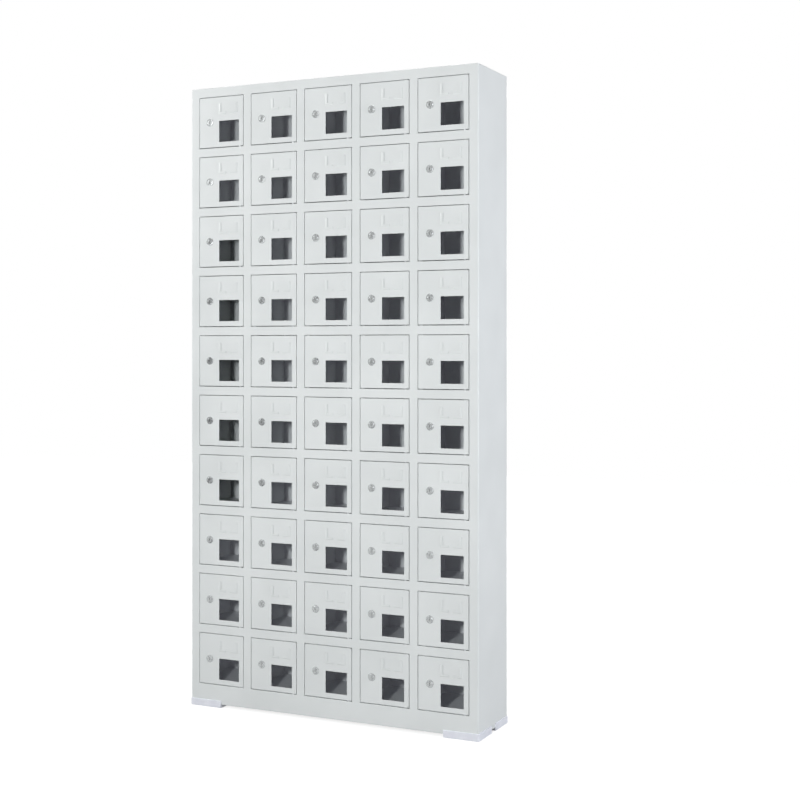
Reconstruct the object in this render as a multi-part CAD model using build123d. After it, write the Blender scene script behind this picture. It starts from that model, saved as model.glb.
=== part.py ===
from build123d import *
import os

# A free-standing steel locker box for cell phones: 5 columns by 10 rows of small inset doors.
# Every door has its own cam lock, clear window and label holder, and turns on two short pins
# near its right edge. Millimetres, +Z up, front face towards -Y.
# The origin is on the floor, under the middle of the cabinet.

# Whole cabinet
COLUMNS = 5
ROWS = 10
CABINET_WIDTH = 900.0
CABINET_DEPTH = 210.0
CABINET_HEIGHT = 1780.0
SHEET = 0.8

# Front frame
SIDE_STILE = 26.5
MULLION = 24.5
TOP_RAIL = 27.0
RAIL = 24.5
OPENING_HEIGHT = 147.7
FOLD_DEPTH = 16.2
RAIL_LIP = 15.0
STOP_LIP = 8.0
NOTCH_PLAY = 0.3
REAR_STRIP = 14.0

# Foot pads
PAD_FLOOR = 9.0
PAD_RIM_TOP = 20.0
PAD_RIM = 3.0
PAD_CORNER = 8.0
PAD_ALONG_FRONT = 104.0
PAD_ALONG_SIDE = 94.0

# Doors: gaps in the opening, and the depth of the folded edges
SIDE_GAP = 1.5
TOP_GAP = 1.5
BOTTOM_GAP = 2.0
DOOR_DEPTH = 15.0

# Hinge pins
PIVOT_FROM_EDGE = 11.5
PIVOT_BEHIND_FACE = 5.0
PIN_RADIUS = 2.0
PIN_PLAY = 0.05
PIN_REACH = 3.5
SHOULDER_RADIUS = 3.5
SHOULDER_PLAY = 0.05

# Window, from the door's left and bottom edges, and its clips at shares of its height
WINDOW_LEFT = 66.0
WINDOW_BOTTOM = 14.4
WINDOW_WIDTH = 67.0
WINDOW_HEIGHT = 61.0
PANE_LAP = 4.0
PANE_THICKNESS = 2.0
CLIP_WIDTH = 9.0
CLIP_LAP = 3.0
CLIP_PLAY = 0.2
CLIP_HEIGHTS = (0.25, 0.75)

# Label holder: two raised L-shaped tabs, from the door's left and top edges
HOLDER_LEFT = 64.5
HOLDER_RIGHT = 128.0
HOLDER_TOP = 18.5
HOLDER_BOTTOM = 49.5
HOLDER_BAR = 8.0
HOLDER_FOOT_LENGTH = 25.0
HOLDER_FOOT = 6.5
HOLDER_RISE = 1.0

# Cam lock, from the door's left edge at half its height
LOCK_FROM_LEFT = 34.5
LOCK_FLANGE_RADIUS = 11.0
LOCK_FLANGE = 2.0
BARREL_RADIUS = 9.0
BARREL_LENGTH = 17.0
BARREL_PLAY = 0.2
NUT_ACROSS_FLATS = 24.0
NUT_THICKNESS = 3.5
PLUG_RADIUS = 6.0
PLUG_PLAY = 0.05
PLUG_PROUD = 0.4
KEYWAY_WIDTH = 1.6
KEYWAY_HEIGHT = 7.0
KEYWAY_DEPTH = 9.0
CAM_THICKNESS = 2.5
CAM_WIDTH = 13.0
CAM_REACH = 35.0
SCREW_HEAD_ACROSS = 8.0
SCREW_HEAD = 3.0

# The lock whose plug turns as a piece of its own
TURNING_LOCK = (5, 3)

# Worked out from the above
OPENING_WIDTH = (CABINET_WIDTH - 2 * SIDE_STILE - (COLUMNS - 1) * MULLION) / COLUMNS
COLUMN_PITCH = OPENING_WIDTH + MULLION
ROW_PITCH = OPENING_HEIGHT + RAIL
HALF_WIDTH = CABINET_WIDTH / 2
INSIDE = HALF_WIDTH - SHEET
CLEAR = HALF_WIDTH - SIDE_STILE
FRONT = -CABINET_DEPTH / 2
BACK = CABINET_DEPTH / 2
BOTTOM = PAD_FLOOR
TOP = PAD_FLOOR + CABINET_HEIGHT
FOLD_BACK = FRONT + FOLD_DEPTH
LIP_BACK = FRONT + RAIL_LIP
INNER_BACK = BACK - SHEET
FIRST_OPENING_LEFT = -HALF_WIDTH + SIDE_STILE
TOP_OPENING_BOTTOM = TOP - TOP_RAIL - OPENING_HEIGHT
LOWEST_OPENING_BOTTOM = TOP_OPENING_BOTTOM - (ROWS - 1) * ROW_PITCH
DOORWAY_HEIGHT = (LOWEST_OPENING_BOTTOM, TOP - TOP_RAIL)
UNDER_TOP_PLATE = (BOTTOM, TOP - SHEET)
DOOR_WIDTH = OPENING_WIDTH - 2 * SIDE_GAP
DOOR_HEIGHT = OPENING_HEIGHT - TOP_GAP - BOTTOM_GAP
PIVOT_X = SIDE_GAP + DOOR_WIDTH - PIVOT_FROM_EDGE
LOCK_X = SIDE_GAP + LOCK_FROM_LEFT
LOCK_Z = BOTTOM_GAP + DOOR_HEIGHT / 2


def block(x, y, z):
    """A box from three (low, high) pairs."""
    size = Box(x[1] - x[0], y[1] - y[0], z[1] - z[0], align=(Align.MIN, Align.MIN, Align.MIN))
    return Pos(x[0], y[0], z[0]) * size


def upright(x, y, z, radius):
    """A cylinder along Z between two heights."""
    return Pos(x, y, z[0]) * Cylinder(radius, z[1] - z[0], align=(Align.CENTER, Align.CENTER, Align.MIN))


def lying(x, z, y, radius):
    """A cylinder along Y between two depths."""
    return Pos(x, (y[0] + y[1]) / 2, z) * Rot(90, 0, 0) * Cylinder(radius, y[1] - y[0])


def write(node, pieces):
    export_step(pieces[0] if len(pieces) == 1 else Compound(pieces), f"parts/{node}.step")


def opening_left(column):
    return FIRST_OPENING_LEFT + (column - 1) * COLUMN_PITCH


def opening_bottom(row):
    return TOP_OPENING_BOTTOM - (row - 1) * ROW_PITCH


# ---------------------------------------------------------------- cabinet


def stop_lip(leg_outside, height):
    """A strip turned into the opening behind the door's lock edge."""
    return block((leg_outside - SHEET, leg_outside + STOP_LIP), (FOLD_BACK - SHEET, FOLD_BACK), height)


def left_side_panel():
    """The flat side sheet, the folded front stile with its return and stop lip, and the rear strip
    that carries the back panel, welded together."""
    outer, inner = -HALF_WIDTH, -HALF_WIDTH + SIDE_STILE
    side = block((outer, outer + SHEET), (FRONT + SHEET, BACK), (BOTTOM, TOP))
    face = block((outer, inner), (FRONT, FRONT + SHEET), (BOTTOM, TOP))
    leg = block((inner - SHEET, inner), (FRONT, FOLD_BACK), UNDER_TOP_PLATE)
    stile = face + leg + stop_lip(inner, DOORWAY_HEIGHT)
    strip = block((outer + SHEET, outer + REAR_STRIP), (INNER_BACK - SHEET, INNER_BACK), UNDER_TOP_PLATE)
    return [side, stile, strip]


def right_side_panel():
    """The same three pieces on the hinge side, where the stile has no stop lip."""
    outer, inner = HALF_WIDTH, HALF_WIDTH - SIDE_STILE
    side = block((outer - SHEET, outer), (FRONT + SHEET, BACK), (BOTTOM, TOP))
    face = block((inner, outer), (FRONT, FRONT + SHEET), (BOTTOM, TOP))
    leg = block((inner, inner + SHEET), (FRONT, FOLD_BACK), UNDER_TOP_PLATE)
    strip = block((outer - REAR_STRIP, outer - SHEET), (INNER_BACK - SHEET, INNER_BACK), UNDER_TOP_PLATE)
    return [side, face + leg, strip]


def top_panel():
    """The top plate, and the top rail of the front frame with its return, welded to it."""
    plate = block((-INSIDE, INSIDE), (FRONT + SHEET, BACK), (TOP - SHEET, TOP))
    face = block((-CLEAR, CLEAR), (FRONT, FRONT + SHEET), (TOP - TOP_RAIL, TOP))
    lip = block((-CLEAR, CLEAR), (FRONT, LIP_BACK), (TOP - TOP_RAIL, TOP - TOP_RAIL + SHEET))
    return [plate, face + lip]


def base_panel():
    """The floor of the bottom row, and the plinth below it with a return that rests on the pads."""
    floor = (LOWEST_OPENING_BOTTOM - SHEET, LOWEST_OPENING_BOTTOM)
    front_strip = block((-CLEAR, CLEAR), (FRONT, FOLD_BACK + NOTCH_PLAY), floor)
    plate = block((-INSIDE, INSIDE), (FOLD_BACK + NOTCH_PLAY, INNER_BACK - SHEET), floor)
    face = block((-CLEAR, CLEAR), (FRONT, FRONT + SHEET), (BOTTOM, LOWEST_OPENING_BOTTOM - SHEET))
    foot = block((-CLEAR, CLEAR), (FRONT, LIP_BACK), (BOTTOM, BOTTOM + SHEET))
    return [front_strip + plate, face + foot]


def back_panel():
    return block((-INSIDE, INSIDE), (INNER_BACK, BACK), UNDER_TOP_PLATE)


def mullion(column):
    """The folded front channel right of a column, with the stop lip for the next column's doors."""
    left = opening_left(column) + OPENING_WIDTH
    right = left + MULLION
    face = block((left, right), (FRONT, FRONT + SHEET), DOORWAY_HEIGHT)
    hinge_leg = block((left, left + SHEET), (FRONT, FOLD_BACK), DOORWAY_HEIGHT)
    lock_leg = block((right - SHEET, right), (FRONT, FOLD_BACK), DOORWAY_HEIGHT)
    return face + hinge_leg + lock_leg + stop_lip(right, DOORWAY_HEIGHT)


def web_span(column):
    """Where the upright wall right of a column stands: in the middle of its mullion."""
    middle = opening_left(column) + OPENING_WIDTH + MULLION / 2
    return (middle - SHEET / 2, middle + SHEET / 2)


def partition_web(column):
    """The upright wall between two columns, from the mullion's face to the back panel."""
    rear = block(web_span(column), (FOLD_BACK, INNER_BACK), (LOWEST_OPENING_BOTTOM, TOP - SHEET))
    front = block(web_span(column), (FRONT + SHEET, FOLD_BACK), DOORWAY_HEIGHT)
    return rear + front


def compartment_span(column):
    """Left and right walls of a column's compartments."""
    left = -INSIDE if column == 1 else web_span(column - 1)[1]
    right = INSIDE if column == COLUMNS else web_span(column)[0]
    return (left, right)


def shelf(column, row):
    """The folded tray under one compartment: plate, front rail and the return under the rail."""
    left = opening_left(column)
    right = left + OPENING_WIDTH
    top = opening_bottom(row)
    plate = (top - SHEET, top)
    notch_back = FOLD_BACK + NOTCH_PLAY
    front_strip = block((left, right), (FRONT, LIP_BACK), plate)
    beside_stop = block((left + STOP_LIP + NOTCH_PLAY, right), (LIP_BACK, notch_back), plate)
    rear = block(compartment_span(column), (notch_back, INNER_BACK - SHEET), plate)
    rail = block((left, right), (FRONT, FRONT + SHEET), (top - RAIL, top))
    lip = block((left, right), (FRONT, LIP_BACK), (top - RAIL, top - RAIL + SHEET))
    return front_strip + beside_stop + rear + rail + lip


def foot_pad(side, end):
    """A moulded pad under one corner, with a rim round the two outer faces and a rounded corner.
    side is -1 for left and 1 for right; end is -1 for front and 1 for back."""
    outer_x, outer_y = HALF_WIDTH + PAD_RIM, BACK + PAD_RIM
    along_x = sorted((side * outer_x, side * (outer_x - PAD_ALONG_FRONT)))
    along_y = sorted((end * outer_y, end * (outer_y - PAD_ALONG_SIDE)))
    rim_x = sorted((side * outer_x, side * HALF_WIDTH))
    rim_y = sorted((end * outer_y, end * BACK))
    floor = block(along_x, along_y, (0, PAD_FLOOR))
    side_rim = block(rim_x, along_y, (0, PAD_RIM_TOP))
    end_rim = block(along_x, rim_y, (0, PAD_RIM_TOP))
    pad = floor + side_rim + end_rim
    corner = Vector(side * outer_x, end * outer_y, 0)
    return fillet(pad.edges().filter_by(Axis.Z).sort_by_distance(corner)[0], PAD_CORNER)


def hinge_pins(column, row):
    """The lower pin, whose shoulder carries the door, and the upper pin."""
    x, y = opening_left(column) + PIVOT_X, FRONT + PIVOT_BEHIND_FACE
    floor, ceiling = opening_bottom(row), opening_bottom(row) + OPENING_HEIGHT
    shoulder = upright(x, y, (floor, floor + BOTTOM_GAP - SHOULDER_PLAY), SHOULDER_RADIUS)
    lower = shoulder + upright(x, y, (floor, floor + BOTTOM_GAP + PIN_REACH), PIN_RADIUS)
    upper = upright(x, y, (ceiling - TOP_GAP - PIN_REACH, ceiling), PIN_RADIUS)
    return [lower, upper]


# ---------------------------------------------------------------- one door
# Built with the opening's lower left front corner at the origin.


def door_tray():
    """The skin with its four folded edges, before any holes."""
    left, right = SIDE_GAP, SIDE_GAP + DOOR_WIDTH
    low, high = BOTTOM_GAP, BOTTOM_GAP + DOOR_HEIGHT
    outside = block((left, right), (0, DOOR_DEPTH), (low, high))
    inside = block((left + SHEET, right - SHEET), (SHEET, DOOR_DEPTH), (low + SHEET, high - SHEET))
    return outside - inside


def window_spans(lap):
    """The window's spans along X and Z, grown by a lap on each side."""
    left, low = SIDE_GAP + WINDOW_LEFT, BOTTOM_GAP + WINDOW_BOTTOM
    return (left - lap, left + WINDOW_WIDTH + lap), (low - lap, low + WINDOW_HEIGHT + lap)


def pane_clip(side, height):
    """A bent tab beside the pane that holds its edge. side is -1 for left and 1 for right."""
    span, _ = window_spans(PANE_LAP)
    edge = (span[0] - CLIP_PLAY) if side < 0 else (span[1] + CLIP_PLAY)
    back = SHEET + PANE_THICKNESS + CLIP_PLAY + SHEET
    heights = (height - CLIP_WIDTH / 2, height + CLIP_WIDTH / 2)
    post = block(sorted((edge, edge + side * SHEET)), (SHEET, back), heights)
    finger = block(sorted((edge + side * SHEET, edge - side * CLIP_LAP)), (back - SHEET, back), heights)
    return post + finger


def holder_tab(side):
    """One L-shaped tab of the label holder, open on its inner edges.
    side is -1 for the left tab and 1 for the right one."""
    outer = SIDE_GAP + (HOLDER_LEFT if side < 0 else HOLDER_RIGHT)
    door_top = BOTTOM_GAP + DOOR_HEIGHT
    low, high = door_top - HOLDER_BOTTOM, door_top - HOLDER_TOP
    front = (-HOLDER_RISE - SHEET, -HOLDER_RISE)
    bar = block(sorted((outer, outer - side * HOLDER_BAR)), front, (low, high))
    foot = block(sorted((outer, outer - side * HOLDER_FOOT_LENGTH)), front, (low, low + HOLDER_FOOT))
    side_wall = block(sorted((outer, outer - side * SHEET)), (-HOLDER_RISE, 0), (low, high))
    foot_wall = block(sorted((outer, outer - side * HOLDER_FOOT_LENGTH)), (-HOLDER_RISE, 0), (low, low + SHEET))
    return bar + foot + side_wall + foot_wall


def door_panel():
    """The folded steel door with its window, lock hole, pivot holes, clips and label holder."""
    window_x, window_z = window_spans(0)
    panel = door_tray() - block(window_x, (0, SHEET), window_z)
    panel -= lying(LOCK_X, LOCK_Z, (0, SHEET), BARREL_RADIUS + BARREL_PLAY)
    for low in (BOTTOM_GAP, BOTTOM_GAP + DOOR_HEIGHT - SHEET):
        panel -= upright(PIVOT_X, PIVOT_BEHIND_FACE, (low, low + SHEET), PIN_RADIUS + PIN_PLAY)
    for side in (-1, 1):
        panel += holder_tab(side)
        for share in CLIP_HEIGHTS:
            panel += pane_clip(side, window_z[0] + share * WINDOW_HEIGHT)
    return panel


def window_pane():
    span_x, span_z = window_spans(PANE_LAP)
    return block(span_x, (SHEET, SHEET + PANE_THICKNESS), span_z)


def lock_barrel():
    """The fixed part of the lock: front flange and threaded barrel, bored for the plug."""
    flange = lying(LOCK_X, LOCK_Z, (-LOCK_FLANGE, 0), LOCK_FLANGE_RADIUS)
    barrel = lying(LOCK_X, LOCK_Z, (-LOCK_FLANGE, BARREL_LENGTH), BARREL_RADIUS)
    bore = lying(LOCK_X, LOCK_Z, (-LOCK_FLANGE, BARREL_LENGTH), PLUG_RADIUS + PLUG_PLAY)
    return flange + barrel - bore


def lock_nut():
    """The hexagon nut that clamps the lock to the skin from behind."""
    hexagon = extrude(RegularPolygon(NUT_ACROSS_FLATS / 2, 6, major_radius=False), NUT_THICKNESS)
    nut = Pos(LOCK_X, SHEET + NUT_THICKNESS, LOCK_Z) * Rot(90, 0, 0) * hexagon
    return nut - lying(LOCK_X, LOCK_Z, (SHEET, SHEET + NUT_THICKNESS), BARREL_RADIUS + BARREL_PLAY)


def lock_plug():
    """The turning core, with the keyway in its face."""
    core = lying(LOCK_X, LOCK_Z, (-LOCK_FLANGE - PLUG_PROUD, BARREL_LENGTH), PLUG_RADIUS)
    face = -LOCK_FLANGE - PLUG_PROUD
    across = (LOCK_X - KEYWAY_WIDTH / 2, LOCK_X + KEYWAY_WIDTH / 2)
    heights = (LOCK_Z - KEYWAY_HEIGHT / 2, LOCK_Z + KEYWAY_HEIGHT / 2)
    return core - block(across, (face, face + KEYWAY_DEPTH), heights)


def lock_cam():
    """The flat bar on the back of the plug, hanging down as it does when unlocked."""
    depth = (BARREL_LENGTH, BARREL_LENGTH + CAM_THICKNESS)
    tip = LOCK_Z - CAM_REACH + CAM_WIDTH / 2
    bar = block((LOCK_X - CAM_WIDTH / 2, LOCK_X + CAM_WIDTH / 2), depth, (tip, LOCK_Z))
    return bar + lying(LOCK_X, LOCK_Z, depth, CAM_WIDTH / 2) + lying(LOCK_X, tip, depth, CAM_WIDTH / 2)


def cam_screw():
    head = extrude(RegularPolygon(SCREW_HEAD_ACROSS / 2, 6, major_radius=False), SCREW_HEAD)
    return Pos(LOCK_X, BARREL_LENGTH + CAM_THICKNESS + SCREW_HEAD, LOCK_Z) * Rot(90, 0, 0) * head


# ---------------------------------------------------------------- files

os.makedirs("parts", exist_ok=True)
columns = range(1, COLUMNS + 1)
rows = range(1, ROWS + 1)

write("left_side_panel", left_side_panel())
write("right_side_panel", right_side_panel())
write("top_panel", top_panel())
write("base_panel", base_panel())
write("back_panel", [back_panel()])
write("partitions", [make(column) for column in columns[:-1] for make in (mullion, partition_web)])
write("shelves", [shelf(column, row) for row in rows[:-1] for column in columns])
write("foot_pads", [foot_pad(side, end) for side in (-1, 1) for end in (-1, 1)])
write("hinge_pins", [pin for row in rows for column in columns for pin in hinge_pins(column, row)])

fixed_pieces = [door_panel(), window_pane(), lock_barrel(), lock_nut()]
turning_pieces = [lock_plug(), lock_cam(), cam_screw()]
for row in rows:
    for column in columns:
        place = Pos(opening_left(column), FRONT, opening_bottom(row))
        fixed = [place * piece for piece in fixed_pieces]
        turning = [place * piece for piece in turning_pieces]
        name = f"row{row:02d}_col{column}"
        if (row, column) == TURNING_LOCK:
            write(f"door_{name}", fixed)
            write(f"lock_plug_{name}", turning)
        else:
            write(f"door_{name}", fixed + turning)
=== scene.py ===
import math

import bmesh
import bpy
from mathutils import Matrix, Vector


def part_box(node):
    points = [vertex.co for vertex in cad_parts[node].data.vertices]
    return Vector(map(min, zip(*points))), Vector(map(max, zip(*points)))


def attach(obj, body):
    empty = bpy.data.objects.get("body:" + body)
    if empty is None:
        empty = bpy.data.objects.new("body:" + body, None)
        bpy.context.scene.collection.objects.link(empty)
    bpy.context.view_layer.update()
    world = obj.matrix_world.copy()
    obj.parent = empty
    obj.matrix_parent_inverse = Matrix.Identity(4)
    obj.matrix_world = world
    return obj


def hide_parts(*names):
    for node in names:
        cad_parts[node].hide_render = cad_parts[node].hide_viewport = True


# A free-standing steel phone locker: a folded and welded cabinet with 50 small inset doors.
# Shapes are built in millimetres, in the frame's own axes, and become metres when they are finished.

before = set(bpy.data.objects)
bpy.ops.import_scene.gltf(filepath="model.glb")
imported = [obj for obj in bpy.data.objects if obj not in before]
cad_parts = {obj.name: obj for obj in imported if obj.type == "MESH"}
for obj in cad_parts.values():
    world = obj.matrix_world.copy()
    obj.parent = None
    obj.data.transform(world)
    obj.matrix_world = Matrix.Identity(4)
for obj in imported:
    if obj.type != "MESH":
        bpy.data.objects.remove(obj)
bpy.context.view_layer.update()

MM = 0.001
TINY = 0.01
QUARTER_TURN = math.radians(90)
HEXAGON = 6

# Sheet steel
SHEET = 0.8
CABINET_FOLD = 2.8
FRAME_FOLD = 1.4
DOOR_FOLD = 1.2
STOP_FOLD = 1.0
FOLD_STEPS = 3
SMALL_STEPS = 2
CREASE_ANGLE = math.radians(40)
SMOOTH_ANGLE = math.radians(35)
FLAT_ANGLE = math.radians(1)
FACING_UP = 0.9

# Front frame
COLUMNS = range(1, 6)
ROWS = range(1, 11)
FOLD_DEPTH = 16.2
RAIL_LIP = 15.0
STOP_LIP = 8.0
NOTCH_PLAY = 0.3
REAR_FLANGE = 14.0
LID = 3.2
BACK_MARGIN = 2.0

# Gaps round a door, and the door's folded edges
SIDE_GAP = 1.5
TOP_GAP = 1.5
BOTTOM_GAP = 2.0
DOOR_DEPTH = 15.0

# Window, from the door's left and bottom edges
WINDOW_LEFT = 66.0
WINDOW_BOTTOM = 14.4
WINDOW_WIDTH = 67.0
WINDOW_HEIGHT = 61.0
WINDOW_CORNER = 1.0
PANE_LAP = 4.0
PANE_THICKNESS = 2.0
PANE_CORNER = 1.5
CLIP_WIDTH = 9.0
CLIP_LAP = 3.0
CLIP_PLAY = 0.2
CLIP_HEIGHTS = (0.25, 0.75)

# Label holder tabs, from the door's left and top edges
HOLDER_LEFT = 64.5
HOLDER_RIGHT = 128.0
HOLDER_TOP = 18.5
HOLDER_BOTTOM = 49.5
HOLDER_BAR = 8.0
HOLDER_FOOT_LENGTH = 25.0
HOLDER_FOOT = 6.5
HOLDER_FLANK = 2.0
HOLDER_HEIGHT = 1.4

# Cam lock, from the door's left edge at half its height
LOCK_FROM_LEFT = 34.5
FLANGE_RADIUS = 11.0
FLANGE = 2.0
FLANGE_CHAMFER = 0.9
FACE_SET_BACK = 0.35
FACE_DISH = 0.55
MOUTH_CHAMFER = 0.5
COLLAR_EDGE = 1.6
COLLAR_FOOT = 2.0
BARREL_RADIUS = 9.0
BARREL_LENGTH = 17.0
HOLE_PLAY = 0.2
NUT_ACROSS_FLATS = 24.0
NUT_THICKNESS = 3.5
PLUG_RADIUS = 6.0
PLUG_PLAY = 0.05
PLUG_PROUD = 0.4
PLUG_EDGE = 0.35
KEYWAY_WIDTH = 1.6
KEYWAY_HEIGHT = 7.0
KEYWAY_DEPTH = 9.0
CAM_THICKNESS = 2.5
CAM_WIDTH = 13.0
CAM_REACH = 35.0
SCREW_HEAD_ACROSS = 8.0
SCREW_HEAD = 3.0
SCREW_CHAMFER = 0.5
ROUND_STEPS = 24

# Foot pads
PAD_FLOOR = 9.0
PAD_RIM_TOP = 20.0
PAD_RIM = 3.0
PAD_CORNER = 8.0
PAD_CORNER_STEPS = 6
PAD_ALONG_FRONT = 104.0
PAD_ALONG_SIDE = 94.0
PAD_SOFT_EDGE = 1.8

# The lock whose plug turns on a body of its own
TURNING_LOCK = (5, 3)


# ---------------------------------------------------------------- places, from the frame


def at(kind, row, column):
    return f"{kind}_row{row:02d}_col{column}"


def corners(node):
    """A CAD node's lowest and highest corners in millimetres."""
    low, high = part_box(node)
    return low / MM, high / MM


def opening_left(column):
    return corners(at("door", 1, column))[0].x - SIDE_GAP


def opening_bottom(row):
    return corners(at("door", row, 1))[0].z - BOTTOM_GAP


side_low, side_high = corners("left_side_panel")
door_low, door_high = corners(at("door", 1, 1))
OUTER_LEFT, FRONT, BOTTOM = side_low
OUTER_RIGHT = corners("right_side_panel")[1].x
BACK, TOP = side_high.y, side_high.z
INNER_BACK = BACK - SHEET
FOLD_BACK = FRONT + FOLD_DEPTH
DOOR_WIDTH = door_high.x - door_low.x
DOOR_HEIGHT = door_high.z - door_low.z
OPENING_WIDTH = DOOR_WIDTH + 2 * SIDE_GAP
OPENING_HEIGHT = DOOR_HEIGHT + TOP_GAP + BOTTOM_GAP
CLEAR_LEFT = opening_left(COLUMNS[0])
CLEAR_RIGHT = opening_left(COLUMNS[-1]) + OPENING_WIDTH
DOORWAY_BOTTOM = opening_bottom(ROWS[-1])
DOORWAY_TOP = opening_bottom(ROWS[0]) + OPENING_HEIGHT
RAIL = opening_bottom(ROWS[0]) - opening_bottom(ROWS[1]) - OPENING_HEIGHT
WINDOW_RIGHT = WINDOW_LEFT + WINDOW_WIDTH
WINDOW_TOP = WINDOW_BOTTOM + WINDOW_HEIGHT
LOCK_CENTRE = Vector((LOCK_FROM_LEFT, 0, DOOR_HEIGHT / 2))


def wall_middle(column):
    """Where the wall right of a column stands: in the middle of its mullion."""
    return (opening_left(column) + OPENING_WIDTH + opening_left(column + 1)) / 2


# ---------------------------------------------------------------- working the sheet


def row_of_edges(sheet, points, closed=False):
    """Edges through a row of points, from which a sheet is drawn out."""
    ends = [sheet.verts.new(point) for point in points]
    pairs = zip(ends, ends[1:] + ends[:1]) if closed else zip(ends, ends[1:])
    return [sheet.edges.new(pair) for pair in list(pairs)]


def carried(sheet, edges, step):
    """Draws the sheet out from some edges by a step. Returns the edges at its new end."""
    grown = bmesh.ops.extrude_edge_only(sheet, edges=edges)["geom"]
    moved = {part for part in grown if isinstance(part, bmesh.types.BMVert)}
    bmesh.ops.translate(sheet, vec=step, verts=list(moved))
    edges = [part for part in grown if isinstance(part, bmesh.types.BMEdge)]
    return [edge for edge in edges if moved.issuperset(edge.verts)]


def creases(sheet):
    """The edges where a sheet or a solid turns a corner."""
    sheet.normal_update()
    return [edge for edge in sheet.edges
            if len(edge.link_faces) == 2 and edge.calc_face_angle() > CREASE_ANGLE]


def rounded(sheet, edges, radius, steps=FOLD_STEPS):
    bmesh.ops.bevel(sheet, geom=edges, offset=radius, offset_type="OFFSET", segments=steps, profile=0.5,
                    affect="EDGES", material=-1)


def rounded_corner(sheet, corner, radius, steps=FOLD_STEPS):
    bmesh.ops.bevel(sheet, geom=[corner], offset=radius, offset_type="OFFSET", segments=steps, profile=0.5,
                    affect="VERTICES", material=-1)


def cut_away(sheet, unwanted):
    """Cuts out the faces whose middle point is unwanted."""
    spare = [face for face in sheet.faces if unwanted(face.calc_center_median())]
    bmesh.ops.delete(sheet, geom=spare, context="FACES")


def thickened(sheet, outside, thickness=SHEET):
    """Gives a sheet its thickness behind the side that looks outside at its widest face."""
    sheet.normal_update()
    widest = max(sheet.faces, key=lambda face: face.calc_area())
    if widest.normal.dot(Vector(outside)) < 0:
        bmesh.ops.reverse_faces(sheet, faces=sheet.faces[:])
    sheet.normal_update()
    bmesh.ops.solidify(sheet, geom=sheet.faces[:], thickness=thickness)
    return sheet


def upright(section, heights, outside, unwanted=None):
    """A folded upright. section is a row of (x, y, fold radius), carried up from height to height."""
    sheet = bmesh.new()
    row_of_edges(sheet, [(x, y, heights[0]) for x, y, _ in section])
    for corner, (_, _, radius) in zip(sheet.verts[:], section):
        if radius:
            rounded_corner(sheet, corner, radius)
    row = sheet.edges[:]
    for low, high in zip(heights, heights[1:]):
        row = carried(sheet, row, (0, 0, high - low))
    if unwanted:
        cut_away(sheet, unwanted)
    bmesh.ops.recalc_face_normals(sheet, faces=sheet.faces[:])
    return thickened(sheet, outside)


def joined(whole, addition):
    """Adds one shape to another."""
    carrier = bpy.data.meshes.new("carrier")
    addition.to_mesh(carrier)
    addition.free()
    whole.from_mesh(carrier)
    bpy.data.meshes.remove(carrier)


def finished_mesh(name, shape, material):
    """The shape as a mesh in metres, smooth over its folds and flat between them."""
    bmesh.ops.scale(shape, vec=(MM, MM, MM), verts=shape.verts[:])
    rough = bpy.data.meshes.new(name)
    shape.to_mesh(rough)
    shape.free()
    rough.shade_smooth()
    rough.set_sharp_from_angle(angle=SMOOTH_ANGLE)
    holder = bpy.data.objects.new(name, rough)
    bpy.context.scene.collection.objects.link(holder)
    holder.modifiers.new("flat_between_folds", "WEIGHTED_NORMAL").keep_sharp = True
    seen = holder.evaluated_get(bpy.context.evaluated_depsgraph_get())
    mesh = bpy.data.meshes.new_from_object(seen)
    bpy.data.objects.remove(holder)
    bpy.data.meshes.remove(rough)
    mesh.materials.clear()
    mesh.materials.append(material)
    return mesh


def piece(name, mesh, body, slot, *stands_for):
    """One piece of the object, already in its place."""
    thing = bpy.data.objects.new(name, mesh)
    bpy.context.scene.collection.objects.link(thing)
    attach(thing, body)
    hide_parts(*stands_for)
    return thing


# ---------------------------------------------------------------- finishes


def new_finish(name):
    """A material with only an output, and the place on the piece that its patterns read."""
    finish = bpy.data.materials.new(name)
    finish.use_nodes = True
    tree = finish.node_tree
    tree.nodes.clear()
    output = tree.nodes.new("ShaderNodeOutputMaterial")
    place = tree.nodes.new("ShaderNodeTexCoord").outputs["Object"]
    return finish, tree, output.inputs["Surface"], place


SOFT_DETAIL = 2.0
FINE_DETAIL = 3.0
TINT_ENDS = (0.35, 0.65)
SPREAD_ENDS = (0.3, 0.7)


def grain(tree, place, size, detail=SOFT_DETAIL):
    """A cloudy pattern whose patches are about this size in millimetres."""
    noise = tree.nodes.new("ShaderNodeTexNoise")
    noise.inputs["Scale"].default_value = 1 / (size * MM)
    noise.inputs["Detail"].default_value = detail
    tree.links.new(place, noise.inputs["Vector"])
    return noise.outputs["Fac"]


def tinted(tree, pattern, dark, light):
    """A colour that drifts between two with a pattern."""
    ramp = tree.nodes.new("ShaderNodeValToRGB")
    for stop, end, colour in zip(ramp.color_ramp.elements, TINT_ENDS, (dark, light)):
        stop.position = end
        stop.color = (*colour, 1)
    tree.links.new(pattern, ramp.inputs["Fac"])
    return ramp.outputs["Color"]


def spread(tree, pattern, values):
    """A value that drifts between two with a pattern."""
    span = tree.nodes.new("ShaderNodeMapRange")
    span.inputs["From Min"].default_value, span.inputs["From Max"].default_value = SPREAD_ENDS
    span.inputs["To Min"].default_value, span.inputs["To Max"].default_value = values
    tree.links.new(pattern, span.inputs["Value"])
    return span.outputs["Result"]


def relief(tree, pattern, depth, under=None):
    """A surface that rises and falls by a depth in millimetres, over another relief."""
    bump = tree.nodes.new("ShaderNodeBump")
    bump.inputs["Distance"].default_value = depth * MM
    tree.links.new(pattern, bump.inputs["Height"])
    if under:
        tree.links.new(under, bump.inputs["Normal"])
    return bump.outputs["Normal"]


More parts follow.
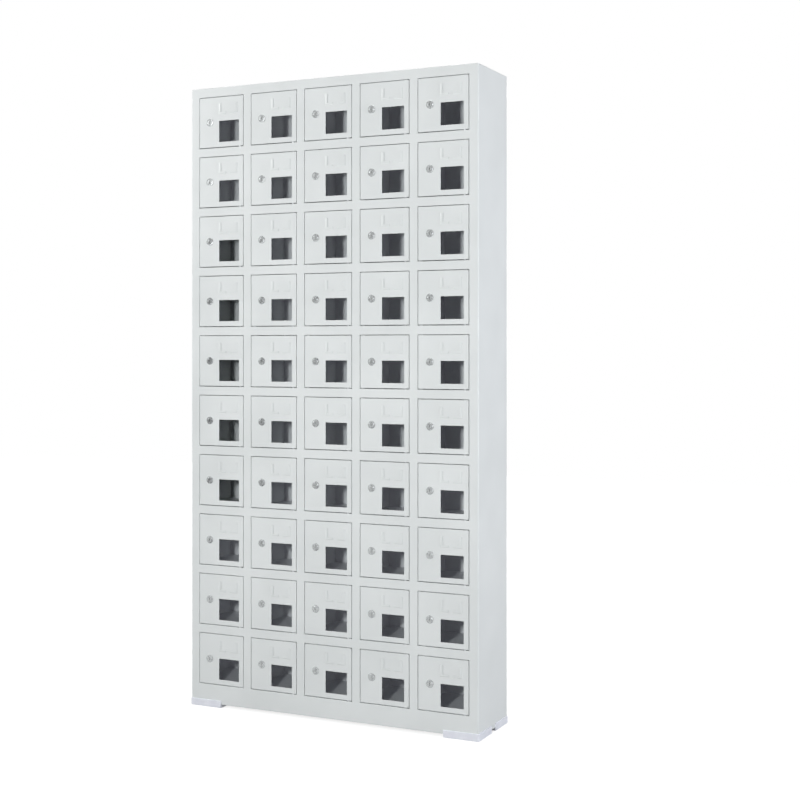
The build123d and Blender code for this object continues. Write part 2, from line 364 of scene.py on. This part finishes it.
def shader(tree, surface, colour, roughness, normal, **constants):
    """The main shader, with what varies linked and what doesn't set on its own sockets."""
    principled = tree.nodes.new("ShaderNodeBsdfPrincipled")
    tree.links.new(colour, principled.inputs["Base Color"])
    tree.links.new(roughness, principled.inputs["Roughness"])
    tree.links.new(normal, principled.inputs["Normal"])
    for socket, value in constants.items():
        principled.inputs[socket].default_value = value
    tree.links.new(principled.outputs["BSDF"], surface)


PAINT_DARK = (0.705, 0.735, 0.735)
PAINT_LIGHT = (0.745, 0.775, 0.775)
PAINT_CLOUD = 160.0
PAINT_ROUGHNESS = (0.36, 0.44)
PAINT_SATIN_CLOUD = 40.0
PAINT_IOR = 1.5
PAINT_PEEL = 1.6
PAINT_PEEL_DEPTH = 0.010
SHEET_WAVE = 190.0
SHEET_WAVE_DEPTH = 0.35


def powder_coat():
    """Satin light grey powder coat, with fine orange peel over sheet that isn't quite flat."""
    finish, tree, surface, place = new_finish("powder_coat")
    colour = tinted(tree, grain(tree, place, PAINT_CLOUD), PAINT_DARK, PAINT_LIGHT)
    roughness = spread(tree, grain(tree, place, PAINT_SATIN_CLOUD), PAINT_ROUGHNESS)
    wave = relief(tree, grain(tree, place, SHEET_WAVE, 0.0), SHEET_WAVE_DEPTH)
    peel = relief(tree, grain(tree, place, PAINT_PEEL), PAINT_PEEL_DEPTH, wave)
    shader(tree, surface, colour, roughness, peel, IOR=PAINT_IOR)
    return finish


PLATING_CLOUD = 5.0
PLATING_SATIN_CLOUD = 2.5
PLATING_PIT = 0.7
PLATING_PIT_DEPTH = 0.006
LOCK_DARK = (0.38, 0.395, 0.397)
LOCK_LIGHT = (0.49, 0.51, 0.512)
LOCK_ROUGHNESS = (0.22, 0.32)
ZINC_DARK = (0.52, 0.53, 0.55)
ZINC_LIGHT = (0.66, 0.67, 0.69)
ZINC_ROUGHNESS = (0.30, 0.42)


def plated_metal(name, dark, light, satin):
    """Plated die casting or turned steel, with a faint cloudiness and fine pitting."""
    finish, tree, surface, place = new_finish(name)
    colour = tinted(tree, grain(tree, place, PLATING_CLOUD), dark, light)
    roughness = spread(tree, grain(tree, place, PLATING_SATIN_CLOUD), satin)
    pits = relief(tree, grain(tree, place, PLATING_PIT, FINE_DETAIL), PLATING_PIT_DEPTH)
    shader(tree, surface, colour, roughness, pits, Metallic=1.0)
    return finish


PLASTIC_DARK = (0.78, 0.80, 0.87)
PLASTIC_LIGHT = (0.84, 0.86, 0.92)
PLASTIC_CLOUD = 35.0
PLASTIC_ROUGHNESS = (0.42, 0.55)
PLASTIC_SATIN_CLOUD = 12.0
PLASTIC_GRAIN = 0.8
PLASTIC_GRAIN_DEPTH = 0.02
PLASTIC_IOR = 1.49


def moulded_plastic():
    """White moulded plastic with a fine spark-eroded grain."""
    finish, tree, surface, place = new_finish("moulded_plastic")
    colour = tinted(tree, grain(tree, place, PLASTIC_CLOUD), PLASTIC_DARK, PLASTIC_LIGHT)
    roughness = spread(tree, grain(tree, place, PLASTIC_SATIN_CLOUD), PLASTIC_ROUGHNESS)
    texture = relief(tree, grain(tree, place, PLASTIC_GRAIN, FINE_DETAIL), PLASTIC_GRAIN_DEPTH)
    shader(tree, surface, colour, roughness, texture, IOR=PLASTIC_IOR)
    return finish


PANE_MIRROR = 0.0195
PANE_MIRROR_RISE = 5
PANE_TINT = (0.975, 0.98, 0.985, 1)
PANE_SHEEN = (0.84, 0.84, 1.0, 1)
PANE_ROUGHNESS = 0.06
PANE_WAVE = 60.0
PANE_WAVE_DEPTH = 0.12


def clear_acrylic():
    """A clear pane: it lets light straight through and mirrors a little, more at a grazing angle."""
    finish, tree, surface, place = new_finish("clear_acrylic")
    warp = relief(tree, grain(tree, place, PANE_WAVE, 0.0), PANE_WAVE_DEPTH)
    through = tree.nodes.new("ShaderNodeBsdfTransparent")
    through.inputs["Color"].default_value = PANE_TINT
    mirror = tree.nodes.new("ShaderNodeBsdfGlossy")
    mirror.inputs["Color"].default_value = PANE_SHEEN
    mirror.inputs["Roughness"].default_value = PANE_ROUGHNESS
    tree.links.new(warp, mirror.inputs["Normal"])
    rise = tree.nodes.new("ShaderNodeMath")
    rise.operation = "POWER"
    rise.inputs[1].default_value = PANE_MIRROR_RISE
    slant = tree.nodes.new("ShaderNodeLayerWeight").outputs["Facing"]
    tree.links.new(slant, rise.inputs[0])
    share = tree.nodes.new("ShaderNodeMapRange")
    share.inputs["To Min"].default_value = PANE_MIRROR
    tree.links.new(rise.outputs["Value"], share.inputs["Value"])
    mix = tree.nodes.new("ShaderNodeMixShader")
    tree.links.new(share.outputs["Result"], mix.inputs["Fac"])
    tree.links.new(through.outputs["BSDF"], mix.inputs[1])
    tree.links.new(mirror.outputs["BSDF"], mix.inputs[2])
    tree.links.new(mix.outputs["Shader"], surface)
    return finish


paint = powder_coat()
lock_plating = plated_metal("lock_plating", LOCK_DARK, LOCK_LIGHT, LOCK_ROUGHNESS)
zinc_plating = plated_metal("zinc_plating", ZINC_DARK, ZINC_LIGHT, ZINC_ROUGHNESS)
acrylic = clear_acrylic()
pad_plastic = moulded_plastic()


# ---------------------------------------------------------------- cabinet


def left_side():
    """Side panel, front stile with the stop lip behind the first doors, and rear flange."""
    section = [
        (OUTER_LEFT + REAR_FLANGE, INNER_BACK, 0),
        (OUTER_LEFT, INNER_BACK, CABINET_FOLD),
        (OUTER_LEFT, FRONT, CABINET_FOLD),
        (CLEAR_LEFT, FRONT, FRAME_FOLD),
        (CLEAR_LEFT, FOLD_BACK - SHEET, STOP_FOLD),
        (CLEAR_LEFT + STOP_LIP, FOLD_BACK - SHEET, 0),
    ]
    heights = (BOTTOM, DOORWAY_BOTTOM, DOORWAY_TOP, TOP - LID)
    return upright(section, heights, (-1, 0, 0), lambda spot: spot.x > CLEAR_LEFT and not in_doorway(spot))


def in_doorway(spot):
    return DOORWAY_BOTTOM < spot.z < DOORWAY_TOP


def right_side():
    """Side panel, front stile without a stop lip, and rear flange."""
    section = [
        (OUTER_RIGHT - REAR_FLANGE, INNER_BACK, 0),
        (OUTER_RIGHT, INNER_BACK, CABINET_FOLD),
        (OUTER_RIGHT, FRONT, CABINET_FOLD),
        (CLEAR_RIGHT, FRONT, FRAME_FOLD),
        (CLEAR_RIGHT, FOLD_BACK, 0),
    ]
    return upright(section, (BOTTOM, TOP - LID), (1, 0, 0))


def mullion(column):
    """The front channel right of a column, whose face runs over the rounded edges of the rails."""
    left = opening_left(column) + OPENING_WIDTH
    right = opening_left(column + 1)
    section = [
        (left, FOLD_BACK, 0),
        (left, FRONT, FRAME_FOLD),
        (right, FRONT, FRAME_FOLD),
        (right, FOLD_BACK - SHEET, STOP_FOLD),
        (right + STOP_LIP, FOLD_BACK - SHEET, 0),
    ]
    heights = (DOORWAY_BOTTOM - FRAME_FOLD, DOORWAY_BOTTOM, DOORWAY_TOP, DOORWAY_TOP + FRAME_FOLD)
    return upright(section, heights, (0, -1, 0),
                   lambda spot: spot.y > FRONT + FRAME_FOLD and not in_doorway(spot))


def wall(column):
    """The flat wall between two columns, from the mullion's face to the back panel."""
    near = wall_middle(column) + SHEET / 2
    section = [(near, FRONT + SHEET, 0), (near, INNER_BACK, 0)]
    return upright(section, (DOORWAY_BOTTOM, TOP - SHEET), (1, 0, 0))


def run_over_upright(sheet, edge_x, reach):
    """Lets the front of a rail run on over the rounded edge of the upright beside it."""
    ends = [edge for edge in sheet.edges
            if all(abs(v.co.x - edge_x) < TINY and v.co.y < FRONT + FRAME_FOLD + TINY for v in edge.verts)]
    carried(sheet, ends, (reach, 0, 0))


def tray(xs, height, rail, notch=None):
    """A floor whose front is folded down into a rail and back under it. xs are the floor's two ends
    with the rail's two ends between them; notch is where the rail's stop lip passes, as (low, high) x."""
    outer_left, left, right, outer_right = xs
    sheet = bmesh.new()
    inner_xs = [left, notch, right] if notch else [left, right]
    back = INNER_BACK - SHEET
    notch_back, lip_back = FOLD_BACK + NOTCH_PLAY, FRONT + RAIL_LIP
    row = row_of_edges(sheet, [(x, back, height) for x in [outer_left, *inner_xs, outer_right]])
    row = carried(sheet, row, (0, notch_back - back, 0))
    row = [edge for edge in row if all(left - TINY < v.co.x < right + TINY for v in edge.verts)]
    row = carried(sheet, row, (0, lip_back - notch_back, 0))
    row = carried(sheet, row, (0, FRONT - lip_back, 0))
    row = carried(sheet, row, (0, 0, -rail))
    carried(sheet, row, (0, RAIL_LIP, 0))
    if notch:
        cut_away(sheet, lambda spot: left < spot.x < notch and lip_back < spot.y < notch_back)
    rounded(sheet, creases(sheet), FRAME_FOLD)
    run_over_upright(sheet, left, -FRAME_FOLD)
    run_over_upright(sheet, right, FRAME_FOLD)
    return thickened(sheet, (0, 0, 1))


def shelf_tray(column, row):
    """The shelf under one compartment, with the rail below its doorway."""
    left = opening_left(column)
    right = left + OPENING_WIDTH
    near = OUTER_LEFT + SHEET if column == COLUMNS[0] else wall_middle(column - 1) + SHEET / 2
    far = OUTER_RIGHT - SHEET if column == COLUMNS[-1] else wall_middle(column) - SHEET / 2
    return tray((near, left, right, far), opening_bottom(row), RAIL, left + STOP_LIP + NOTCH_PLAY)


def base():
    """The floor of the bottom row, with the plinth in front of the space below it."""
    xs = (OUTER_LEFT + SHEET, CLEAR_LEFT, CLEAR_RIGHT, OUTER_RIGHT - SHEET)
    return tray(xs, DOORWAY_BOTTOM, DOORWAY_BOTTOM - BOTTOM)


def top():
    """The lid, whose edges are folded down all round and whose front goes on down as the top rail."""
    sheet = bmesh.new()
    bmesh.ops.create_cube(sheet, size=1)
    bmesh.ops.scale(sheet, vec=(OUTER_RIGHT - OUTER_LEFT, BACK - FRONT, LID), verts=sheet.verts[:])
    bmesh.ops.translate(sheet, vec=(0, 0, TOP - LID / 2), verts=sheet.verts[:])
    cut_away(sheet, lambda spot: spot.z < TOP - LID + TINY)
    rail_left, rail_right = CLEAR_LEFT - FRAME_FOLD, CLEAR_RIGHT + FRAME_FOLD
    for rail_end in (rail_left, rail_right):
        front = [face for face in sheet.faces if face.calc_center_median().y < FRONT + TINY]
        around = {part for face in front for part in (*face.edges, *face.verts)}
        bmesh.ops.bisect_plane(sheet, geom=[*front, *around], plane_co=(rail_end, 0, 0), plane_no=(1, 0, 0))
    rail = [edge for edge in sheet.edges if edge.is_boundary
            and all(v.co.y < FRONT + TINY and rail_left - TINY < v.co.x < rail_right + TINY
                    for v in edge.verts)]
    rail = carried(sheet, rail, (0, 0, DOORWAY_TOP - TOP + LID))
    carried(sheet, rail, (0, RAIL_LIP, 0))
    rail_folds = [edge for edge in creases(sheet) if edge.verts[0].co.z < TOP - LID - TINY]
    rounded(sheet, rail_folds, FRAME_FOLD)
    lid_folds = [edge for edge in creases(sheet) if max(v.co.z for v in edge.verts) > TOP - TINY]
    rounded(sheet, lid_folds, CABINET_FOLD)
    return thickened(sheet, (0, 0, 1))


def back():
    """The back panel, spot welded on the rear flanges."""
    section = [(OUTER_RIGHT - BACK_MARGIN, BACK, 0), (OUTER_LEFT + BACK_MARGIN, BACK, 0)]
    return upright(section, (BOTTOM, TOP - LID), (0, 1, 0))


def foot_pad(side, end):
    """A pad under one corner, with a rim round the cabinet's two faces there. side is -1 for left and
    end is -1 for front."""
    outer_x, outer_y = side * (OUTER_RIGHT + PAD_RIM), end * (BACK + PAD_RIM)
    inner_x, inner_y = outer_x - side * PAD_ALONG_FRONT, outer_y - end * PAD_ALONG_SIDE
    pad = bmesh.new()
    plan = [(outer_x, outer_y, 0), (inner_x, outer_y, 0), (inner_x, inner_y, 0), (outer_x, inner_y, 0)]
    row_of_edges(pad, plan, closed=True)
    pad.verts.ensure_lookup_table()
    rounded_corner(pad, pad.verts[0], PAD_CORNER, PAD_CORNER_STEPS)
    raise_faces(pad, bmesh.ops.edgeloop_fill(pad, edges=pad.edges[:])["faces"], PAD_FLOOR, keep_below=True)
    for point, way in (((side * OUTER_RIGHT, 0, 0), (1, 0, 0)), ((0, end * BACK, 0), (0, 1, 0))):
        everything = [*pad.faces, *pad.edges, *pad.verts]
        bmesh.ops.bisect_plane(pad, geom=everything, plane_co=point, plane_no=way)
    bmesh.ops.recalc_face_normals(pad, faces=pad.faces[:])
    rim = [face for face in pad.faces if face.normal.z > FACING_UP and is_outside(face.calc_center_median())]
    raise_faces(pad, rim, PAD_RIM_TOP - PAD_FLOOR)
    bmesh.ops.dissolve_limit(pad, angle_limit=FLAT_ANGLE, verts=pad.verts[:], edges=pad.edges[:])
    soft = [edge for edge in creases(pad) if all(is_outside(v.co) for v in edge.verts)]
    rounded(pad, soft, PAD_SOFT_EDGE, SMALL_STEPS)
    return pad


def raise_faces(solid, faces, height, keep_below=False):
    """Draws faces upwards, and keeps the first ones as an underside if told to."""
    around = set() if keep_below else {part for face in faces for part in (*face.edges, *face.verts)}
    grown = bmesh.ops.extrude_face_region(solid, geom=[*faces, *around], use_keep_orig=keep_below)["geom"]
    moved = [part for part in grown if isinstance(part, bmesh.types.BMVert)]
    bmesh.ops.translate(solid, vec=(0, 0, height), verts=moved)


def is_outside(spot):
    """Whether a point lies outside the cabinet's plan."""
    return abs(spot.x) > OUTER_RIGHT + TINY or abs(spot.y) > BACK + TINY


def build_cabinet():
    def steel(name, shape, *stands_for):
        piece(name, finished_mesh(name, shape, paint), "cabinet", "frame_paint", *stands_for)

    steel("left_side", left_side(), "left_side_panel")
    steel("right_side", right_side(), "right_side_panel")
    steel("top", top(), "top_panel")
    steel("base", base(), "base_panel")
    steel("back", back(), "back_panel")
    for column in COLUMNS[:-1]:
        steel(f"mullion_{column}", mullion(column), "partitions")
        steel(f"wall_{column}", wall(column), "partitions")
    for row in ROWS[:-1]:
        for column in COLUMNS:
            steel(at("tray", row, column), shelf_tray(column, row), "shelves")
    for side, hand in ((-1, "left"), (1, "right")):
        for end, place in ((-1, "front"), (1, "back")):
            name = f"pad_{place}_{hand}"
            piece(name, finished_mesh(name, foot_pad(side, end), pad_plastic), "cabinet", "pads", "foot_pads")
    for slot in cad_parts["hinge_pins"].material_slots:
        slot.material = zinc_plating


# ---------------------------------------------------------------- one door
# Built with the door's lower left front corner at the origin.


def rectangle(sheet, left, right, low, high, radius=0.0):
    """A closed row of edges in the skin's plane, with rounded corners if it has a radius."""
    before = set(sheet.verts)
    row_of_edges(sheet, [(left, 0, low), (right, 0, low), (right, 0, high), (left, 0, high)], closed=True)
    if radius:
        for corner in [v for v in sheet.verts if v not in before]:
            rounded_corner(sheet, corner, radius, SMALL_STEPS)


def circle(sheet, radius, steps=ROUND_STEPS):
    """A closed row of edges round the lock's axis."""
    turned = Matrix.Translation(LOCK_CENTRE) @ Matrix.Rotation(QUARTER_TURN, 4, "X")
    return bmesh.ops.create_circle(sheet, radius=radius, segments=steps, matrix=turned)["verts"]


def filled(sheet):
    """Fills the space between the closed rows of edges."""
    bmesh.ops.triangle_fill(sheet, edges=sheet.edges[:], use_beauty=True, normal=(0, -1, 0))


def door_skin():
    """The folded skin with its window and lock hole, the label holder and the clips for the pane."""
    skin = bmesh.new()
    rectangle(skin, 0, DOOR_WIDTH, 0, DOOR_HEIGHT)
    outline = skin.edges[:]
    rectangle(skin, WINDOW_LEFT, WINDOW_RIGHT, WINDOW_BOTTOM, WINDOW_TOP, WINDOW_CORNER)
    circle(skin, BARREL_RADIUS + HOLE_PLAY)
    filled(skin)
    carried(skin, outline, (0, DOOR_DEPTH, 0))
    rounded(skin, creases(skin), DOOR_FOLD)
    thickened(skin, (0, -1, 0))
    for side in (-1, 1):
        joined(skin, holder_tab(side))
        for share in CLIP_HEIGHTS:
            joined(skin, pane_clip(side, WINDOW_BOTTOM + share * WINDOW_HEIGHT))
    return skin


def holder_tab(side):
    """One pressed L-shaped tab, with sloped flanks outside and below and open edges inside."""
    outer = HOLDER_LEFT if side < 0 else HOLDER_RIGHT
    low, high = DOOR_HEIGHT - HOLDER_BOTTOM, DOOR_HEIGHT - HOLDER_TOP
    flank = outer - side * HOLDER_FLANK
    bar = outer - side * HOLDER_BAR
    end = outer - side * HOLDER_FOOT_LENGTH
    foot_flank, foot = low + HOLDER_FLANK, low + HOLDER_FOOT
    face = -HOLDER_HEIGHT
    tab = bmesh.new()
    rows = [
        row_of_edges(tab, [(outer, 0, high), (flank, face, high), (bar, face, high)]),
        row_of_edges(tab, [(outer, 0, low), (flank, face, foot_flank), (bar, face, foot)]),
        row_of_edges(tab, [(end, 0, low), (end, face, foot_flank), (end, face, foot)]),
    ]
    for first, second in zip(rows, rows[1:]):
        bmesh.ops.bridge_loops(tab, edges=first + second)
    bmesh.ops.recalc_face_normals(tab, faces=tab.faces[:])
    return thickened(tab, (0, -1, 0))


def pane_clip(side, height):
    """A bent tab beside the pane that holds its edge."""
    edge = WINDOW_LEFT - PANE_LAP - CLIP_PLAY if side < 0 else WINDOW_RIGHT + PANE_LAP + CLIP_PLAY
    depth = SHEET + PANE_THICKNESS + CLIP_PLAY
    section = [(edge, SHEET, 0), (edge, depth, 0), (edge - side * CLIP_LAP, depth, 0)]
    return upright(section, (height - CLIP_WIDTH / 2, height + CLIP_WIDTH / 2), (-side, 0, 0))


def window_pane():
    pane = bmesh.new()
    rectangle(pane, WINDOW_LEFT - PANE_LAP, WINDOW_RIGHT + PANE_LAP, WINDOW_BOTTOM - PANE_LAP,
              WINDOW_TOP + PANE_LAP, PANE_CORNER)
    bmesh.ops.translate(pane, vec=(0, SHEET, 0), verts=pane.verts[:])
    bmesh.ops.edgeloop_fill(pane, edges=pane.edges[:])
    return thickened(pane, (0, -1, 0), PANE_THICKNESS)


def lock_barrel():
    """The flange with its raised collar round the plug, and the barrel behind it."""
    bore = PLUG_RADIUS + PLUG_PLAY
    rim = -FLANGE + FACE_SET_BACK
    profile = [
        (bore, BARREL_LENGTH),
        (bore, -FLANGE + MOUTH_CHAMFER),
        (bore + MOUTH_CHAMFER, -FLANGE),
        (bore + COLLAR_EDGE, -FLANGE),
        (bore + COLLAR_FOOT, -FLANGE + FACE_DISH),
        (FLANGE_RADIUS - FLANGE_CHAMFER, rim),
        (FLANGE_RADIUS, rim + FLANGE_CHAMFER),
        (FLANGE_RADIUS, 0),
        (BARREL_RADIUS, 0),
        (BARREL_RADIUS, BARREL_LENGTH),
    ]
    barrel = bmesh.new()
    row_of_edges(barrel, [LOCK_CENTRE + Vector((radius, y, 0)) for radius, y in profile], closed=True)
    spun = [*barrel.verts, *barrel.edges]
    bmesh.ops.spin(barrel, geom=spun, cent=LOCK_CENTRE, axis=(0, 1, 0), angle=math.tau,
                   steps=ROUND_STEPS, use_merge=True)
    bmesh.ops.recalc_face_normals(barrel, faces=barrel.faces[:])
    return barrel


def hexagon_radius(across_flats):
    return across_flats / 2 / math.cos(math.pi / HEXAGON)


def lock_nut():
    """The hexagon nut behind the skin."""
    nut = bmesh.new()
    circle(nut, hexagon_radius(NUT_ACROSS_FLATS), HEXAGON)
    circle(nut, BARREL_RADIUS + HOLE_PLAY)
    filled(nut)
    bmesh.ops.translate(nut, vec=(0, SHEET, 0), verts=nut.verts[:])
    return thickened(nut, (0, -1, 0), NUT_THICKNESS)


def lock_plug():
    """The turning core, with the keyway cut into its face."""
    plug = bmesh.new()
    circle(plug, PLUG_RADIUS)
    rim = plug.edges[:]
    middle = DOOR_HEIGHT / 2
    rectangle(plug, LOCK_FROM_LEFT - KEYWAY_WIDTH / 2, LOCK_FROM_LEFT + KEYWAY_WIDTH / 2,
              middle - KEYWAY_HEIGHT / 2, middle + KEYWAY_HEIGHT / 2)
    slot = [edge for edge in plug.edges if edge not in rim]
    filled(plug)
    bmesh.ops.edgeloop_fill(plug, edges=carried(plug, slot, (0, KEYWAY_DEPTH, 0)))
    length = FLANGE + PLUG_PROUD + BARREL_LENGTH
    bmesh.ops.edgeloop_fill(plug, edges=carried(plug, rim, (0, length, 0)))
    bmesh.ops.translate(plug, vec=(0, -FLANGE - PLUG_PROUD, 0), verts=plug.verts[:])
    bmesh.ops.recalc_face_normals(plug, faces=plug.faces[:])
    rounded(plug, [edge for edge in rim if edge.is_valid], PLUG_EDGE, SMALL_STEPS)
    return plug


def lock_cam():
    """The flat bar on the back of the plug, hanging down as it does when unlocked."""
    cam = bmesh.new()
    ring = circle(cam, CAM_WIDTH / 2)
    lower = [v for v in ring if v.co.z < DOOR_HEIGHT / 2 - TINY]
    bmesh.ops.translate(cam, vec=(0, 0, CAM_WIDTH / 2 - CAM_REACH), verts=lower)
    bmesh.ops.edgeloop_fill(cam, edges=cam.edges[:])
    bmesh.ops.translate(cam, vec=(0, BARREL_LENGTH, 0), verts=cam.verts[:])
    return thickened(cam, (0, -1, 0), CAM_THICKNESS)


def cam_screw():
    """The hexagon head that holds the cam, with a chamfer round its back."""
    head = bmesh.new()
    circle(head, hexagon_radius(SCREW_HEAD_ACROSS), HEXAGON)
    bmesh.ops.edgeloop_fill(head, edges=head.edges[:])
    bmesh.ops.translate(head, vec=(0, BARREL_LENGTH + CAM_THICKNESS, 0), verts=head.verts[:])
    thickened(head, (0, -1, 0), SCREW_HEAD)
    back = BARREL_LENGTH + CAM_THICKNESS + SCREW_HEAD
    edges = [edge for edge in creases(head) if all(v.co.y > back - TINY for v in edge.verts)]
    rounded(head, edges, SCREW_CHAMFER, steps=1)
    return head


def build_doors():
    fixed = {
        "skin": (finished_mesh("skin", door_skin(), paint), "door_paint"),
        "pane": (finished_mesh("pane", window_pane(), acrylic), "door_paint"),
        "barrel": (finished_mesh("barrel", lock_barrel(), lock_plating), "lock"),
        "nut": (finished_mesh("nut", lock_nut(), zinc_plating), "lock"),
    }
    turning = {
        "plug": (finished_mesh("plug", lock_plug(), lock_plating), "lock"),
        "cam": (finished_mesh("cam", lock_cam(), zinc_plating), "lock"),
        "screw": (finished_mesh("screw", cam_screw(), zinc_plating), "lock"),
    }
    for row in ROWS:
        for column in COLUMNS:
            door = at("door", row, column)
            plug = at("lock_plug", row, column) if (row, column) == TURNING_LOCK else door
            low = corners(door)[0]
            shift = Matrix.Translation(Vector((low.x, FRONT, low.z)) * MM)
            for pieces, body in ((fixed, door), (turning, plug)):
                for kind, (mesh, slot) in pieces.items():
                    own = mesh.copy()
                    own.transform(shift)
                    piece(at(kind, row, column), own, body, slot, body)


# ---------------------------------------------------------------- studio


WHITE = (1, 1, 1, 1)
FILL_SKY = 0.12
FLOOR_SIZE = 14.0
FLOOR_PAINT = (0.38, 0.38, 0.38, 1)
FLOOR_GLOW = 1.25
SHADOW_SHARE = 0.35
SHADOW_FADE = (0.9, 2.6)
CARD_CORNERS = (Vector((-5.0, -2.6, 0.19)), Vector((-1.74, -2.6, 1.67)))
CARD_PAINT = (0.02, 0.02, 0.022, 1)
CAMERA_LENS = 62.55
CAMERA_SHIFT = (0.0054, -0.0659)
CAMERA_PLACE = (1.8345, -3.4992, 1.0391)
CAMERA_TURN = (90, 0, 25.598)
SENSOR_WIDTH = 36.0


def white_for_the_eye(tree):
    """1 for rays of sight, straight, mirrored or through glass, and 0 for rays that light things."""
    path = tree.nodes.new("ShaderNodeLightPath")
    total = path.outputs["Is Camera Ray"]
    for other in ("Is Glossy Ray", "Is Transmission Ray"):
        either = tree.nodes.new("ShaderNodeMath")
        either.operation = "MAXIMUM"
        tree.links.new(total, either.inputs[0])
        tree.links.new(path.outputs[other], either.inputs[1])
        total = either.outputs["Value"]
    return total


def build_floor():
    bpy.ops.mesh.primitive_plane_add(size=FLOOR_SIZE)
    floor = bpy.context.object
    floor.name = "studio_floor"
    finish = bpy.data.materials.new("studio_floor")
    finish.use_nodes = True
    tree = finish.node_tree
    tree.nodes.clear()
    paint_only = tree.nodes.new("ShaderNodeBsdfDiffuse")
    paint_only.inputs["Color"].default_value = FLOOR_PAINT
    bright = tree.nodes.new("ShaderNodeEmission")
    bright.inputs["Color"].default_value = WHITE
    bright.inputs["Strength"].default_value = FLOOR_GLOW
    place = tree.nodes.new("ShaderNodeTexCoord").outputs["Object"]
    distance = tree.nodes.new("ShaderNodeVectorMath")
    distance.operation = "LENGTH"
    tree.links.new(place, distance.inputs[0])
    share = tree.nodes.new("ShaderNodeMapRange")
    share.inputs["From Min"].default_value, share.inputs["From Max"].default_value = SHADOW_FADE
    share.inputs["To Min"].default_value = SHADOW_SHARE
    share.inputs["To Max"].default_value = 0.0
    tree.links.new(distance.outputs["Value"], share.inputs["Value"])
    shadowed = tree.nodes.new("ShaderNodeMixShader")
    tree.links.new(share.outputs["Result"], shadowed.inputs["Fac"])
    tree.links.new(bright.outputs["Emission"], shadowed.inputs[1])
    pale = tree.nodes.new("ShaderNodeBsdfDiffuse")
    pale.inputs["Color"].default_value = WHITE
    tree.links.new(pale.outputs["BSDF"], shadowed.inputs[2])
    choice = tree.nodes.new("ShaderNodeMixShader")
    tree.links.new(white_for_the_eye(tree), choice.inputs["Fac"])
    tree.links.new(paint_only.outputs["BSDF"], choice.inputs[1])
    tree.links.new(shadowed.outputs["Shader"], choice.inputs[2])
    output = tree.nodes.new("ShaderNodeOutputMaterial")
    tree.links.new(choice.outputs["Shader"], output.inputs["Surface"])
    floor.data.materials.append(finish)


def build_sky():
    world = bpy.data.worlds.new("studio")
    bpy.context.scene.world = world
    world.use_nodes = True
    tree = world.node_tree
    background = tree.nodes["Background"]
    background.inputs["Color"].default_value = WHITE
    strength = tree.nodes.new("ShaderNodeMapRange")
    strength.inputs["To Min"].default_value = FILL_SKY
    strength.inputs["To Max"].default_value = 1.0
    tree.links.new(white_for_the_eye(tree), strength.inputs["Value"])
    tree.links.new(strength.outputs["Result"], background.inputs["Strength"])


def build_dark_card():
    """A dark card beside the lamps that only mirrored rays meet, so that panes and locks have a dark side."""
    bpy.ops.mesh.primitive_plane_add(size=1)
    card = bpy.context.object
    card.name = "dark_card"
    low, high = CARD_CORNERS
    size = Matrix.Diagonal((high.x - low.x, 1, high.z - low.z, 1))
    upright_card = size @ Matrix.Rotation(QUARTER_TURN, 4, "X")
    card.data.transform(Matrix.Translation((low + high) / 2) @ upright_card)
    finish = bpy.data.materials.new("dark_card")
    finish.use_nodes = True
    finish.node_tree.nodes["Principled BSDF"].inputs["Base Color"].default_value = CARD_PAINT
    card.data.materials.append(finish)
    card.visible_camera = card.visible_diffuse = card.visible_transmission = card.visible_shadow = False


def softbox(name, place, towards, width, height, power, colour=(1, 1, 1), mirrored=True):
    light = bpy.data.lights.new(name, "AREA")
    light.color = colour
    light.shape = "RECTANGLE"
    light.size, light.size_y = width, height
    light.energy = power
    lamp = bpy.data.objects.new(name, light)
    lamp.location = place
    lamp.rotation_euler = Vector(towards).to_track_quat("-Z", "Y").to_euler()
    lamp.visible_camera = False
    lamp.visible_glossy = mirrored
    bpy.context.scene.collection.objects.link(lamp)


def build_lights():
    softbox("key", place=(0.76, -3.1, 1.2), towards=(-0.5, 3.0, 0.1),
            width=0.12, height=0.3, power=48, mirrored=False)
    softbox("left_fill", place=(-3.75, -2.3, 2.5), towards=(3.7, 2.2, -0.95),
            width=1.6, height=1.8, power=111)
    softbox("right_fill", place=(3.35, -0.3, 1.45), towards=(-2.9, 0.25, -0.1),
            width=1.1, height=2.0, power=63, colour=(0.94, 0.955, 1.0))
    softbox("back_fill", place=(-0.3, 3.4, 1.7), towards=(0.2, -3.2, -0.7),
            width=1.8, height=2.0, power=85)
    softbox("top_fill", place=(0, 0.1, 3.6), towards=(0, 0, -1),
            width=0.9, height=0.6, power=18)


def build_camera():
    view = bpy.data.cameras.new("camera")
    view.sensor_width = SENSOR_WIDTH
    view.lens = CAMERA_LENS
    view.shift_x, view.shift_y = CAMERA_SHIFT
    camera = bpy.data.objects.new("camera", view)
    camera.location = CAMERA_PLACE
    camera.rotation_euler = [math.radians(angle) for angle in CAMERA_TURN]
    bpy.context.scene.collection.objects.link(camera)
    bpy.context.scene.camera = camera


build_cabinet()
build_doors()
build_floor()
build_sky()
build_dark_card()
build_lights()
build_camera()
bpy.context.scene.view_settings.view_transform = "Standard"
